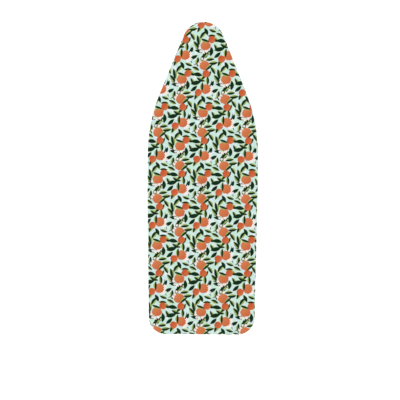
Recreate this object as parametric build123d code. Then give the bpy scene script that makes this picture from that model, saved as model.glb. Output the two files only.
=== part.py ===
from build123d import *
import os
from math import atan2, cos, degrees, radians, sin

# Sleeve ironing board: a padded, cloth-covered board on a folding parallelogram stand.
# Millimetres. +Z up, +Y towards the nose, origin on the table under the middle of the board.

# ---- driving dimensions -------------------------------------------------------------------
board_length = 510.0
board_width = 180.0
overall_height = 160.0

# Plan outline of the covered board.
nose_radius = 35.0
flank_angle = 22.0          # each flank from the centre line
shoulder_radius = 260.0
waist_radius = 2500.0
waist_y = -25.0             # where the board is widest
tail_width = 172.0
tail_corner_radius = 28.0

# Layers of the top, from the outside in.
cloth = 0.8
pad_thickness = 6.0
sheet_steel = 1.0
rail_height = 5.0
cover_depth = 16.8          # top face to the cloth under the rim
cover_turn_under = 25.0     # cloth turned in under the board
layer_gap = 0.2

# Round steel rod of the stand.
rod_radius = 4.0
foot_sole = 3.5             # rubber under the rod
base_tail_y = -222.0
base_nose_y = 144.0
base_tail_x = 66.0
base_nose_x = 50.0
base_corner_radius = 30.0

# Linkage.
front_pivot_y = -60.0
rear_pivot_y = -190.0
leg_x = 45.0                # centre of each strut leg
strut_lean = 84.0           # strut elevation from +Y when it stands on its stop
fold_travel = 84.0
strut_bend_radius = 10.0
tongue_thickness = 3.0
tongue_radius = 5.5
pin_radius = 3.0
running_gap = 0.05
saddle_bore_gap = 0.06
saddle_axis_drop = 7.0      # saddle bore under the rails
stay_arm = 50.0             # lower pivot to stay rivet, and lower pivot to lock pin
lock_pin_rise = 25.0        # elevation of the lock pin seen from the lower pivot
stay_half_width = 6.0
lock_pin_radius = 2.4

# ---- derived places -----------------------------------------------------------------------
board_half = board_width / 2
nose_y = board_length / 2
tail_y = -board_length / 2

pad_top = overall_height - cloth
pad_bottom = pad_top - pad_thickness
lip_bottom = pad_bottom - sheet_steel
mesh_bottom = lip_bottom - sheet_steel
rail_bottom = mesh_bottom - rail_height
cover_bottom = overall_height - cover_depth
top_pivot_z = rail_bottom - saddle_axis_drop

rod_z = foot_sole + rod_radius
tie_thickness = 2.5
tie_width = 20.0
tie_bottom = rod_z + rod_radius
tie_top = tie_bottom + tie_thickness
clevis_wall = 2.0
low_pivot_z = tie_top + clevis_wall + tongue_radius + 1.5

strut_length = (top_pivot_z - low_pivot_z) / sin(radians(strut_lean))
strut_direction = Vector(0, cos(radians(strut_lean)), sin(radians(strut_lean)))
front_pivot = Vector(leg_x, front_pivot_y, low_pivot_z)
rear_pivot = Vector(leg_x, rear_pivot_y, low_pivot_z)
top_pivot_shift = strut_length * cos(radians(strut_lean))

# The stay rivet and the lock pin are equally far from the front pivot, so the stay turns at
# exactly half the strut's rate and the lock pin always stays on the middle line of its slot.
stay_rivet_at = front_pivot + strut_direction * stay_arm
lock_pin_at = front_pivot + stay_arm * Vector(
    0, cos(radians(lock_pin_rise)), sin(radians(lock_pin_rise)))
stay_tilt = (strut_lean + lock_pin_rise) / 2 - 90
stay_reach = 2 * stay_arm * sin(radians((strut_lean - lock_pin_rise) / 2))
stay_reach_folded = 2 * stay_arm * sin(radians((strut_lean + fold_travel - lock_pin_rise) / 2))

# Across the board: where each layer of the linkage lies.
ear_gap = 0.3
inner_ear_x = leg_x - tongue_thickness / 2 - ear_gap
outer_ear_x = leg_x + tongue_thickness / 2 + ear_gap
pin_head = 1.5
stay_x = (37.0, 39.0)
lock_plate_x = (41.5, 43.5)
saddle_x = 27.0
saddle_width = 12.0
rail_width = 14.0


def keep(name, shape):
    """Writes one sub-part to its own STEP file, named after its node."""
    export_step(Compound(children=list(shape.solids())), f"parts/{name}.step")


def mirrored(shape):
    """The same shape on the other side of the board's middle plane."""
    return mirror(shape, about=Plane.YZ)


def both_sides(shape):
    """The right-hand shape and its mirror image, as separate solids."""
    return Compound(children=[*shape.solids(), *mirrored(shape).solids()])


def along_x(x_from, x_to, radius, y=0.0, z=0.0):
    """A cylinder whose axis lies along X."""
    disc = Plane(origin=(x_from, y, z), x_dir=(0, 1, 0), z_dir=(1, 0, 0)) * Circle(radius)
    return extrude(disc, amount=x_to - x_from)


def slab(x, y, z):
    """A box from three (low, high) pairs."""
    spans = [high - low for low, high in (x, y, z)]
    middle = [(high + low) / 2 for low, high in (x, y, z)]
    return Pos(*middle) * Box(*spans)


# ---- the covered top ----------------------------------------------------------------------
def board_outline():
    """Round nose, straight flanks, soft shoulders, a faint waist and a square tail."""
    slope, lean = sin(radians(flank_angle)), cos(radians(flank_angle))
    nose_centre_y = nose_y - nose_radius
    flank_offset = nose_centre_y * slope + nose_radius
    apex_y = flank_offset / slope
    shoulder_y = (flank_offset - board_half * lean) / slope
    corners = [
        ((0, apex_y), nose_radius),
        ((board_half, shoulder_y), shoulder_radius),
        ((board_half, waist_y), waist_radius),
        ((tail_width / 2, tail_y), tail_corner_radius),
    ]
    corners += [((-x, y), radius) for (x, y), radius in reversed(corners[1:])]
    face = make_face(Polyline(*[point for point, _ in corners], close=True)).face()
    for (x, y), radius in corners:
        nearest = face.vertices().sort_by_distance((x, y))[0]
        face = face.fillet_2d(radius, [nearest])
    return face


outline = board_outline()


def inset(distance):
    """The plan outline moved inwards."""
    return outline if distance == 0 else offset(outline, amount=-distance).face()


def plate(inset_by, low, high):
    """A flat piece with the board's outline."""
    return extrude(Pos(0, 0, low) * inset(inset_by), amount=high - low)


def ring(outer, inner, low, high):
    """A flat ring that follows the board's outline."""
    return plate(outer, low, high) - plate(inner, low - 1, high + 1)


def rounded_plate(inset_by, low, high, top_radius, bottom_radius):
    """A board-shaped slab with its two rims rounded."""
    body = plate(inset_by, low, high)
    if top_radius:
        body = fillet(body.faces().sort_by(Axis.Z)[-1].edges(), top_radius)
    if bottom_radius:
        body = fillet(body.faces().sort_by(Axis.Z)[0].edges(), bottom_radius)
    return body


rim_roll = 5.0              # outer radius of the cloth over the top edge
under_roll = 1.5


def make_cover():
    """Printed cotton pulled over the pad and turned in under the rim."""
    outside = rounded_plate(0, cover_bottom, overall_height, rim_roll, under_roll)
    inside = rounded_plate(
        cloth, cover_bottom + cloth, pad_top, rim_roll - cloth, under_roll - cloth)
    mouth = plate(cover_turn_under, cover_bottom - 1, cover_bottom + cloth + 1)
    return outside - inside - mouth


hem_width = 6.0
hem_height = 3.4
elastic_inset = 1.4


def make_hem_binding():
    """Folded tape sewn round the cloth's edge, with a slit where its two edges meet."""
    outer, inner = cover_turn_under - hem_width, cover_turn_under
    top, bottom = cover_bottom, cover_bottom - hem_height
    tape = ring(outer, inner, bottom, top)
    channel = ring(outer + cloth, inner - cloth, bottom + cloth, top - cloth)
    middle = (top + bottom) / 2
    slit = ring(inner - cloth - 0.1, inner + 0.5, middle - layer_gap, middle + layer_gap)
    return tape - channel - slit


def make_hem_elastic():
    """Flat elastic that runs all the way round inside the hem binding."""
    outer = cover_turn_under - hem_width + elastic_inset
    inner = cover_turn_under - elastic_inset
    thickness = 1.2
    middle = cover_bottom - hem_height / 2
    return ring(outer, inner, middle - thickness / 2, middle + thickness / 2)


def make_pad():
    """Needle felt cut to the board, with a soft upper edge."""
    return rounded_plate(cloth + layer_gap, pad_bottom, pad_top, rim_roll - cloth - layer_gap, 0)


def make_edge_frame():
    """Pressed steel rim: a flat lip, an outer wall and a rolled bead at the bottom."""
    outer = cloth + 2 * layer_gap
    bottom = cover_bottom + cloth + 2 * layer_gap
    lip_width, bead = 14.0, 3.6
    lip = ring(outer, outer + lip_width, lip_bottom, pad_bottom)
    wall = ring(outer, outer + sheet_steel, bottom + bead / 2, pad_bottom)
    rolled = ring(outer, outer + bead, bottom, bottom + bead)
    rolled = fillet(rolled.faces().sort_by(Axis.Z)[0].edges(), 1.4)
    return lip + wall + rolled


def make_mesh_sheet():
    """Expanded steel sheet: rows of staggered diamonds inside a plain margin."""
    diamond_length, diamond_width = 40.0, 14.0
    pitch_y, pitch_x = 48.0, 18.0
    margin = 20.0
    reach = inset(margin)
    diamond = Polygon((0, -diamond_length / 2), (diamond_width / 2, 0), (0, diamond_length / 2),
                      (-diamond_width / 2, 0), align=None).face()
    holes = []
    for row in range(-11, 12):
        shift = pitch_x / 2 if row % 2 else 0
        for column in range(-5, 6):
            x, y = column * pitch_x + shift, row * pitch_y / 2
            corners = [(x, y + diamond_length / 2), (x, y - diamond_length / 2),
                       (x + diamond_width / 2, y), (x - diamond_width / 2, y)]
            if all(reach.is_inside(Vector(*corner)) for corner in corners):
                holes.append(Pos(x, y) * diamond)
    sheet = inset(cloth + 2 * layer_gap + 3.0).cut(*holes)
    return extrude(Pos(0, 0, mesh_bottom) * sheet, amount=sheet_steel)


def make_rail():
    """Channel under the mesh that the saddles are riveted to (right-hand one)."""
    x = (saddle_x - rail_width / 2, saddle_x + rail_width / 2)
    y = (-216.0, 128.0)
    inner_x = (x[0] + sheet_steel, x[1] - sheet_steel)
    channel = slab(x, y, (rail_bottom, mesh_bottom))
    channel -= slab(inner_x, (y[0] - 1, y[1] + 1), (rail_bottom + sheet_steel, mesh_bottom + 1))
    for y0 in (front_pivot_y, rear_pivot_y):
        for rivet_y in saddle_rivet_places(y0):
            channel -= Pos(saddle_x, rivet_y, rail_bottom) * Cylinder(rivet_radius + running_gap, 4)
    return channel


# ---- saddles and their rivets -------------------------------------------------------------
saddle_wall = 2.5
saddle_flange = 2.5
rivet_spacing = 25.0
rivet_radius = 1.6


def saddle_rivet_places(low_pivot_y):
    """Y of the two rivets of a saddle over the strut that stands at that lower pivot."""
    middle = low_pivot_y + top_pivot_shift
    return middle - rivet_spacing / 2, middle + rivet_spacing / 2


def make_saddle(low_pivot_y):
    """Moulded bearing for a strut's cross-bar, with a flange each side (right-hand one)."""
    y = low_pivot_y + top_pivot_shift
    x = (saddle_x - saddle_width / 2, saddle_x + saddle_width / 2)
    bore = rod_radius + saddle_bore_gap
    body_radius = bore + saddle_wall
    body = along_x(*x, body_radius, y, top_pivot_z)
    body += slab(x, (y - body_radius, y + body_radius), (top_pivot_z, rail_bottom))
    flange_reach = rivet_spacing / 2 + 4.5
    body += slab(x, (y - flange_reach, y + flange_reach), (rail_bottom - saddle_flange, rail_bottom))
    body -= along_x(x[0] - 1, x[1] + 1, bore, y, top_pivot_z)
    for rivet_y in saddle_rivet_places(low_pivot_y):
        body -= Pos(saddle_x, rivet_y, rail_bottom) * Cylinder(rivet_radius + running_gap, 12)
    return body


def make_saddle_rivets(low_pivot_y):
    """Four rivets: heads under the flanges, tails inside the rails."""
    head_radius, head_height = 3.2, 1.3
    head_top = rail_bottom - saddle_flange
    tail_bottom = rail_bottom + sheet_steel
    rivets = []
    for y in saddle_rivet_places(low_pivot_y):
        rivet = Pos(saddle_x, y, (head_top + tail_bottom) / 2) * Cylinder(
            rivet_radius, tail_bottom - head_top)
        head = Pos(saddle_x, y, head_top - head_height / 2) * Cylinder(head_radius, head_height)
        rivet += fillet(head.edges().sort_by(Axis.Z)[0], head_height * 0.7)
        rivet += Pos(saddle_x, y, tail_bottom + head_height / 2) * Cylinder(2.6, head_height)
        rivets.append(rivet)
    return both_sides(Compound(children=[r.solid() for r in rivets]))


# ---- struts -------------------------------------------------------------------------------
def strut_plane(pivot, x):
    """Plane of a strut's flat parts: its X runs up the strut, its normal is +X."""
    return Plane(origin=(x, pivot.Y, pivot.Z), x_dir=strut_direction, z_dir=(1, 0, 0))


def make_strut(pivot, stay_hole):
    """One bent rod: two legs with flattened, drilled ends, and the cross-bar that turns."""
    rod_start, tongue_end = 14.0, 21.0
    foot = Vector(0, pivot.Y, pivot.Z) + strut_direction * rod_start
    top = Vector(0, pivot.Y, pivot.Z) + strut_direction * strut_length
    left, right = Vector(-leg_x, 0, 0), Vector(leg_x, 0, 0)
    path = FilletPolyline(foot + left, top + left, top + right, foot + right,
                          radius=strut_bend_radius)
    strut = sweep(Plane(origin=path @ 0, z_dir=path % 0) * Circle(rod_radius), path=path)
    tongue = Polygon((0, -tongue_radius), (rod_start - 1, -tongue_radius), (tongue_end, 0),
                     (rod_start - 1, tongue_radius), (0, tongue_radius), align=None)
    tongue = tongue + Circle(tongue_radius) - Circle(pin_radius + running_gap)
    for side in (-leg_x, leg_x):
        strut += extrude(strut_plane(pivot, side - tongue_thickness / 2) * tongue,
                         amount=tongue_thickness)
    if stay_hole:
        strut -= along_x(leg_x - 6, leg_x + 6, stay_rivet_shank + running_gap,
                         stay_rivet_at.Y, stay_rivet_at.Z)
    return strut


stay_rivet_shank = 2.0
stay_rivet_bearing = 2.5


def make_stay_rivet():
    """Shouldered rivet through the front strut's right leg; the stay turns on its shoulder."""
    y, z = stay_rivet_at.Y, stay_rivet_at.Z
    inner = leg_x - rod_radius
    shank = along_x(inner - layer_gap, leg_x + rod_radius + 0.2, stay_rivet_shank, y, z)
    shoulder = along_x(stay_x[0] - 0.3, inner - layer_gap, stay_rivet_bearing, y, z)
    head = along_x(stay_x[0] - 2.0, stay_x[0] - 0.3, 4.5, y, z)
    outer_head = along_x(leg_x + rod_radius + 0.2, leg_x + rod_radius + 1.6, 3.6, y, z)
    return shank + shoulder + head + outer_head


def make_stay_spacer():
    """Washer that keeps the stay clear of the strut's rod."""
    y, z = stay_rivet_at.Y, stay_rivet_at.Z
    x = (stay_x[1] + layer_gap, leg_x - rod_radius - layer_gap)
    washer = along_x(*x, 5.0, y, z)
    return washer - along_x(x[0] - 1, x[1] + 1, stay_rivet_bearing + running_gap, y, z)


# ---- stay ---------------------------------------------------------------------------------
slot_end_gap = 0.1
slot_half_width = lock_pin_radius + layer_gap
stay_tip = stay_reach_folded + 0.4 + slot_half_width + 8.0
notch_depth = 1.2


def stay_plane(x):
    """Plane of the stay at rest: its X runs from the rivet to the free end."""
    direction = (0, cos(radians(stay_tilt)), sin(radians(stay_tilt)))
    return Plane(origin=(x, stay_rivet_at.Y, stay_rivet_at.Z), x_dir=direction, z_dir=(1, 0, 0))


def obround(start, end, half_width):
    """A flat strip with round ends, its end centres on the plane's X axis."""
    middle = Rectangle(end - start, 2 * half_width)
    return Pos((start + end) / 2, 0) * middle + Pos(start, 0) * Circle(half_width) + Pos(
        end, 0) * Circle(half_width)


def make_lock_stay():
    """Slotted flat bar; a notch in the slot's upper edge drops over the lock pin."""
    bar = obround(0, stay_tip - stay_half_width, stay_half_width)
    slot = obround(stay_reach - slot_end_gap, stay_reach_folded + 0.4, slot_half_width)
    notch = Pos(stay_reach - slot_end_gap, notch_depth) * Circle(slot_half_width)
    hole = Circle(stay_rivet_bearing + running_gap)
    return extrude(stay_plane(stay_x[0]) * (bar - slot - notch - hole),
                   amount=stay_x[1] - stay_x[0])


grip_wall = 1.2


def make_stay_grip():
    """Dipped plastic tip that a finger lifts to free the lock pin."""
    start = stay_reach_folded + 0.4 + slot_half_width + 1.6
    skin = obround(0, stay_tip - stay_half_width, stay_half_width + grip_wall)
    tip = extrude(stay_plane(stay_x[0] - grip_wall) * skin,
                  amount=stay_x[1] - stay_x[0] + 2 * grip_wall)
    core = extrude(stay_plane(stay_x[0]) * obround(0, stay_tip - stay_half_width, stay_half_width),
                   amount=stay_x[1] - stay_x[0])
    rest = extrude(stay_plane(stay_x[0] - 5) * (Pos(start / 2, 0) * Rectangle(start, 40)
                                                + Pos(-10, 0) * Rectangle(20, 40)), amount=12)
    return tip - core - rest


# ---- base ---------------------------------------------------------------------------------
def base_rod_x(y):
    """Centre of the base's right-hand side rod, which leans in towards the nose."""
    share = (y - base_tail_y) / (base_nose_y - base_tail_y)
    return base_tail_x + share * (base_nose_x - base_tail_x)


def make_base_frame():
    """One rod bent into a closed loop that narrows towards the nose."""
    path = FilletPolyline((0, base_tail_y, rod_z), (base_tail_x, base_tail_y, rod_z),
                          (base_nose_x, base_nose_y, rod_z), (0, base_nose_y, rod_z),
                          radius=base_corner_radius)
    half = sweep(Plane(origin=path @ 0, z_dir=path % 0) * Circle(rod_radius), path=path)
    return half + mirrored(half)


def make_tie(y):
    """Flat bar welded across the two side rods."""
    reach = base_rod_x(y) + rod_radius
    bar = slab((-reach, reach), (y - tie_width / 2, y + tie_width / 2), (tie_bottom, tie_top))
    return fillet(bar.edges().filter_by(Axis.Z), 4.0)


ear_radius = 6.5


def make_clevis(pivot):
    """Bent steel bracket on a tie: two ears with a strut's tongue between them (right-hand one)."""
    ears = Rectangle(2 * ear_radius, pivot.Z - tie_top)
    profile = Pos(0, -(pivot.Z - tie_top) / 2) * ears + Circle(ear_radius)
    side = Plane(origin=(inner_ear_x - clevis_wall, pivot.Y, pivot.Z), x_dir=(0, 1, 0),
                 z_dir=(1, 0, 0))
    block = extrude(side * profile, amount=outer_ear_x - inner_ear_x + 2 * clevis_wall)
    block -= slab((inner_ear_x, outer_ear_x), (pivot.Y - 10, pivot.Y + 10),
                  (tie_top + clevis_wall, pivot.Z + 10))
    block -= along_x(inner_ear_x - 5, outer_ear_x + 5, pin_radius + 0.02, pivot.Y, pivot.Z)
    return block


def make_lower_pins(pivot):
    """Headed pins of one strut, one for each leg."""
    inner, outer = inner_ear_x - clevis_wall, outer_ear_x + clevis_wall
    pin = along_x(inner, outer + 1.6, pin_radius, pivot.Y, pivot.Z)
    head = along_x(inner - pin_head, inner, 5.0, pivot.Y, pivot.Z)
    head = fillet(head.edges().sort_by(Axis.X)[0], 1.0)
    return both_sides(pin + head)


def make_push_nuts(pivot):
    """Domed caps pressed on the outer ends of the pins."""
    outer = outer_ear_x + clevis_wall
    cap = along_x(outer, outer + 3.0, 5.4, pivot.Y, pivot.Z)
    cap = fillet(cap.edges().sort_by(Axis.X)[-1], 1.8)
    return both_sides(cap - along_x(outer - 1, outer + 1.7, pin_radius, pivot.Y, pivot.Z))


def make_lock_bracket():
    """Upright plate on the lock tie that carries the lock pin, with a riveted foot."""
    top_radius, foot_half = 5.0, 9.0
    height = lock_pin_at.Z - tie_top
    upright = Polygon((-foot_half, -height), (foot_half, -height), (top_radius, 0),
                      (-top_radius, 0), align=None) + Circle(top_radius)
    side = Plane(origin=(lock_plate_x[0], lock_pin_at.Y, lock_pin_at.Z), x_dir=(0, 1, 0),
                 z_dir=(1, 0, 0))
    bracket = extrude(side * upright, amount=lock_plate_x[1] - lock_plate_x[0])
    bracket += slab((lock_plate_x[0], lock_plate_x[1] + 9), (lock_pin_at.Y - foot_half,
                    lock_pin_at.Y + foot_half), (tie_top, tie_top + 2))
    bracket -= along_x(lock_plate_x[0] - 1, lock_plate_x[1] + 1, lock_pin_radius + 0.02,
                       lock_pin_at.Y, lock_pin_at.Z)
    for y in bracket_rivet_places():
        bracket -= Pos(bracket_rivet_x, y, tie_top) * Cylinder(rivet_radius + running_gap, 8)
    return bracket


bracket_rivet_x = lock_plate_x[1] + 5.0


def bracket_rivet_places():
    """Y of the two rivets that hold the lock bracket's foot."""
    return lock_pin_at.Y - 5.0, lock_pin_at.Y + 5.0


def make_bracket_rivets():
    """Two round-headed rivets through the bracket's foot and the tie."""
    rivets = []
    for y in bracket_rivet_places():
        low, high = tie_bottom, tie_top + 2
        rivet = Pos(bracket_rivet_x, y, (low + high) / 2) * Cylinder(rivet_radius, high - low)
        head = Pos(bracket_rivet_x, y, high + 0.6) * Cylinder(3.0, 1.2)
        rivet += fillet(head.edges().sort_by(Axis.Z)[-1], 0.8)
        rivets.append(rivet.solid())
    return Compound(children=rivets)


def make_lock_tie():
    """Tie under the lock bracket, drilled for its rivets."""
    tie = make_tie(lock_pin_at.Y)
    for y in bracket_rivet_places():
        tie -= Pos(bracket_rivet_x, y, tie_top) * Cylinder(rivet_radius + running_gap, 8)
    return tie


def make_lock_pin():
    """Headed pin that runs in the stay's slot, riveted over behind its bracket."""
    y, z = lock_pin_at.Y, lock_pin_at.Z
    pin = along_x(stay_x[0] - 0.6, lock_plate_x[1], lock_pin_radius, y, z)
    pin += along_x(stay_x[0] - 2.1, stay_x[0] - 0.6, 4.4, y, z)
    return pin + along_x(lock_plate_x[1], lock_plate_x[1] + 1.2, 4.0, y, z)


def make_foot(y):
    """Rubber foot that clips over a side rod from below (right-hand one)."""
    length, width, height = 26.0, 15.0, rod_z + 2.0
    turn = degrees(atan2(base_rod_x(y) - base_rod_x(y + 1), 1))
    body = Pos(0, 0, height / 2) * Box(width, length, height)
    body = fillet(body.edges().filter_by(Axis.Z), 3.0)
    body = fillet(body.faces().sort_by(Axis.Z)[0].edges(), 1.2)
    groove = Plane(origin=(0, -length, rod_z), x_dir=(1, 0, 0), z_dir=(0, 1, 0)) * Circle(rod_radius)
    body -= extrude(groove, amount=2 * length)
    return Pos(base_rod_x(y), y, 0) * Rot(0, 0, turn) * body


# ---- write every sub-part -----------------------------------------------------------------
os.makedirs("parts", exist_ok=True)

keep("cover", make_cover())
keep("hem_binding", make_hem_binding())
keep("hem_elastic", make_hem_elastic())
keep("pad", make_pad())
keep("edge_frame", make_edge_frame())
keep("mesh_sheet", make_mesh_sheet())

rail = make_rail()
keep("rail_right", rail)
keep("rail_left", mirrored(rail))

for end, pivot in (("front", front_pivot), ("rear", rear_pivot)):
    saddle = make_saddle(pivot.Y)
    clevis = make_clevis(pivot)
    keep(f"{end}_saddle_right", saddle)
    keep(f"{end}_saddle_left", mirrored(saddle))
    keep(f"{end}_saddle_rivets", make_saddle_rivets(pivot.Y))
    keep(f"{end}_strut", make_strut(pivot, stay_hole=end == "front"))
    keep(f"{end}_clevis_right", clevis)
    keep(f"{end}_clevis_left", mirrored(clevis))
    keep(f"{end}_lower_pins", make_lower_pins(pivot))
    keep(f"{end}_push_nuts", make_push_nuts(pivot))
    keep(f"{end}_tie", make_tie(pivot.Y))

keep("base_frame", make_base_frame())
keep("lock_tie", make_lock_tie())
keep("lock_bracket", make_lock_bracket())
keep("bracket_rivets", make_bracket_rivets())
keep("lock_pin", make_lock_pin())
keep("lock_stay", make_lock_stay())
keep("stay_grip", make_stay_grip())
keep("stay_rivet", make_stay_rivet())
keep("stay_spacer", make_stay_spacer())

for end, y in (("rear", -160.0), ("front", 92.0)):
    foot = make_foot(y)
    keep(f"{end}_foot_right", foot)
    keep(f"{end}_foot_left", mirrored(foot))
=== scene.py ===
import math
import random

import bmesh
import bpy
from bpy.props import FloatProperty, FloatVectorProperty, IntProperty, PointerProperty
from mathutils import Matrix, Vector, noise


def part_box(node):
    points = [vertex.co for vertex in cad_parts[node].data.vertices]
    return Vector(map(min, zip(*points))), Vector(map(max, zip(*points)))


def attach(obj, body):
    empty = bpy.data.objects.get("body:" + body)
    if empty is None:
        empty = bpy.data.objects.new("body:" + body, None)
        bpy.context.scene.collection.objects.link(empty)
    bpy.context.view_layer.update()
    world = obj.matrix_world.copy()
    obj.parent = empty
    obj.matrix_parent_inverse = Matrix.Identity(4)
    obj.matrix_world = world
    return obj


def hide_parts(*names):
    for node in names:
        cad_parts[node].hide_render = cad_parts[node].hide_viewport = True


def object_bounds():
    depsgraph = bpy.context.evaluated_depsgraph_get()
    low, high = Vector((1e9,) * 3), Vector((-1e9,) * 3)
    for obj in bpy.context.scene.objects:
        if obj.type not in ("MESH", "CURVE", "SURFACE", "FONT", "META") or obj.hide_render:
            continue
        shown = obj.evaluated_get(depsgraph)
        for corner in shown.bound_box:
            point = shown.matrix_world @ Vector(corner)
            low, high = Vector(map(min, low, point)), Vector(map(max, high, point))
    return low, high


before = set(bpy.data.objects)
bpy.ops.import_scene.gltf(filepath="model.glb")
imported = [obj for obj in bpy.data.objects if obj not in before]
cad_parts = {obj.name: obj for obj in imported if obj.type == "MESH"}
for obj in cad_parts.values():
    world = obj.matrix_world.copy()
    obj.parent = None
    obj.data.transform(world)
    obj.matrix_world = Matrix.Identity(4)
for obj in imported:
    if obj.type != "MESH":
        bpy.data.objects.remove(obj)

bl_info = {
    "name": "Sleeve ironing board",
    "version": (1, 0, 0),
    "blender": (4, 5, 0),
    "location": "3D View > Sidebar > Sleeve Board",
    "description": "Builds the covered top, hem, pad and finishes of a sleeve ironing board",
    "category": "Add Mesh",
}

CAD_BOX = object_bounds()
MM = 0.001
COVER_LOW, COVER_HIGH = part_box("cover")
PAD_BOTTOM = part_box("pad")[0][2]
OPEN_PITCH, TIGHT_PITCH = 2.6 * MM, 0.85 * MM  # between samples of a straight and of a corner
SOFT_BEND, SHARP_BEND = 8.0, 20.0  # 1 / m: where the outline starts to count as a corner
ARC_STEPS = 64
MIDDLE_INSET = 14 * MM  # how far in from the rim the flat middle of the top starts
MIDDLE_RINGS = 9
UNDER_ROWS = 12  # rings of the turned-in cloth
HELD_ROWS = 6  # rings above them that the simulation holds still
CLOTH_STIFFNESS = {"tension": 20, "compression": 10, "shear": 4}


# ---- settings -----------------------------------------------------------------------------
def length(name, description, default):
    return FloatProperty(name=name, description=description, default=default, unit="LENGTH",
                         precision=4)


def colour(name, description, default):
    return FloatVectorProperty(name=name, description=description, default=default,
                               subtype="COLOR", size=3, min=0.0, max=1.0)


class BoardShape(bpy.types.PropertyGroup):
    nose_radius: length("Nose radius", "Radius of the board's round nose", 35 * MM)
    flank_angle: FloatProperty(name="Flank angle", description="Flank to the centre line",
                               default=math.radians(22), subtype="ANGLE")
    shoulder_radius: length("Shoulder radius", "Radius where the flanks end", 260 * MM)
    waist_radius: length("Waist radius", "Radius of the faint waist", 2500 * MM)
    waist_y: length("Waist place", "Where the board is widest", -25 * MM)
    tail_width: length("Tail width", "Width of the board at its tail", 172 * MM)
    tail_corner: length("Tail corner radius", "Radius of the tail's corners", 28 * MM)
    rim_roll: length("Rim roll", "Radius of the cloth over the top edge", 5 * MM)
    under_roll: length("Under roll", "Radius of the cloth under the rim", 1.5 * MM)
    crown: length("Crown", "Rise of the padded top in its middle", 0.8 * MM)


class ClothSettings(bpy.types.PropertyGroup):
    thickness: length("Thickness", "Thickness of the printed cotton", 0.8 * MM)
    turn_under: length("Turn-under", "Width of cloth turned in under the board", 25 * MM)
    pleat_pitch: length("Pleat pitch", "Outline length of one gather in a corner", 9 * MM)
    ripple_pitch: length("Ripple pitch", "Outline length of one ripple on a side", 21 * MM)
    pleat_depth: length("Pleat depth", "Depth of a gather at the hem", 2.8 * MM)
    ripple_depth: length("Ripple depth", "Depth of a ripple at the hem", 0.7 * MM)
    pull: FloatProperty(name="Pull", description="How the cloth stretches towards the nose",
                        default=0.06)
    drift: FloatProperty(name="Drift", description="How the cloth slips sideways there",
                         default=0.135)
    pull_start: length("Pull start", "Where that stretch starts", 40 * MM)
    ease: FloatProperty(name="Ease", description="Spare length of the turned-in cloth",
                        default=1.04)
    draw_frames: IntProperty(name="Draw frames", description="Steps in which the hem draws in",
                             default=14)
    settle_frames: IntProperty(name="Settle frames", description="Steps until the cloth rests",
                               default=26)
    most_fall: length("Most fall", "Furthest that the settling cloth may move", 5 * MM)
    repeat_width: length("Repeat width", "Distance from sprig to sprig in a row", 72 * MM)
    row_drop: length("Row drop", "Distance from row to row of sprigs", 18 * MM)
    first_lead: FloatProperty(name="First lead", description="Where the first sprig points",
                              default=math.radians(65), subtype="ANGLE")
    lean: FloatProperty(name="Lean", description="How far leaves lean from straight out",
                        default=math.radians(40), subtype="ANGLE")
    large_fruit: length("Large fruit", "Radius of a large printed fruit", 8.2 * MM)
    small_fruit: length("Small fruit", "Radius of a small printed fruit", 5.9 * MM)
    fan_leaves: IntProperty(name="Fan leaves", description="Leaves round a sprig", default=9)
    fan_reach: length("Fan reach", "How far out the leaves sit", 15.8 * MM)
    fan_leaf: length("Fan leaf", "Half length of a printed leaf", 6.6 * MM)
    blossoms: IntProperty(name="Blossoms", description="Blossoms on a sprig", default=4)
    blossom_radius: length("Blossom radius", "Radius of a printed blossom", 3.2 * MM)
    print_seed: IntProperty(name="Print seed", description="Seed of the print's small changes",
                            default=7)
    ground: colour("Ground", "Ground colour of the print", (0.56, 0.80, 0.69))
    ground_cool: colour("Cool ground", "Washed blue of the ground", (0.60, 0.77, 0.82))
    orange: colour("Orange", "Colour of the larger fruit", (0.64, 0.20, 0.078))
    red_orange: colour("Red orange", "Colour of the smaller fruit", (0.57, 0.095, 0.030))
    leaf_dark: colour("Dark leaf", "Shaded half of a leaf", (0.004, 0.026, 0.009))
    leaf_light: colour("Light leaf", "Lit half of a leaf", (0.33, 0.42, 0.115))
    leaf_length: FloatProperty(name="Leaf length", description="Scale of the printed leaves "
                               "along their stems", default=1.2)
    leaf_width: FloatProperty(name="Leaf width", description="Scale of the printed leaves "
                              "across their stems", default=1.55)
    wash: colour("Wash", "Tint of the wash round the leaves", (1.0, 0.97, 0.78))
    petal: colour("Petal", "Colour of the blossoms", (0.93, 0.87, 0.84))


class HemSettings(bpy.types.PropertyGroup):
    width: length("Width", "Width of the folded tape", 6 * MM)
    height: length("Height", "Height of the folded tape", 3 * MM)
    tape: colour("Tape", "Colour of the tape", (0.57, 0.71, 0.65))
    stitch_pitch: length("Stitch pitch", "Distance from stitch to stitch", 3.2 * MM)
    stitch_length: length("Stitch length", "Length of thread that shows", 2.3 * MM)
    thread_radius: length("Thread radius", "Radius of the sewing thread", 0.22 * MM)


class FinishSettings(bpy.types.PropertyGroup):
    stand: colour("Stand paint", "Powder coat of the stand", (0.78, 0.78, 0.76))
    rim: colour("Rim paint", "Powder coat of the rim, mesh and rails", (0.62, 0.64, 0.65))
    zinc: colour("Zinc", "Zinc plating of the small fittings", (0.60, 0.62, 0.64))
    nylon: colour("Nylon", "Moulded saddles", (0.055, 0.06, 0.065))
    spacer: colour("Spacer", "Moulded spacer", (0.80, 0.80, 0.77))
    vinyl: colour("Vinyl", "Dipped grip on the stay", (0.72, 0.16, 0.05))
    rubber: colour("Rubber", "Moulded feet", (0.030, 0.031, 0.033))
    felt: colour("Felt", "Needle felt of the pad", (0.52, 0.49, 0.43))
    weld_length: length("Weld length", "Length of a weld across a rod", 5 * MM)
    weld_radius: length("Weld radius", "Radius of a run of weld", 0.9 * MM)


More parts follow.
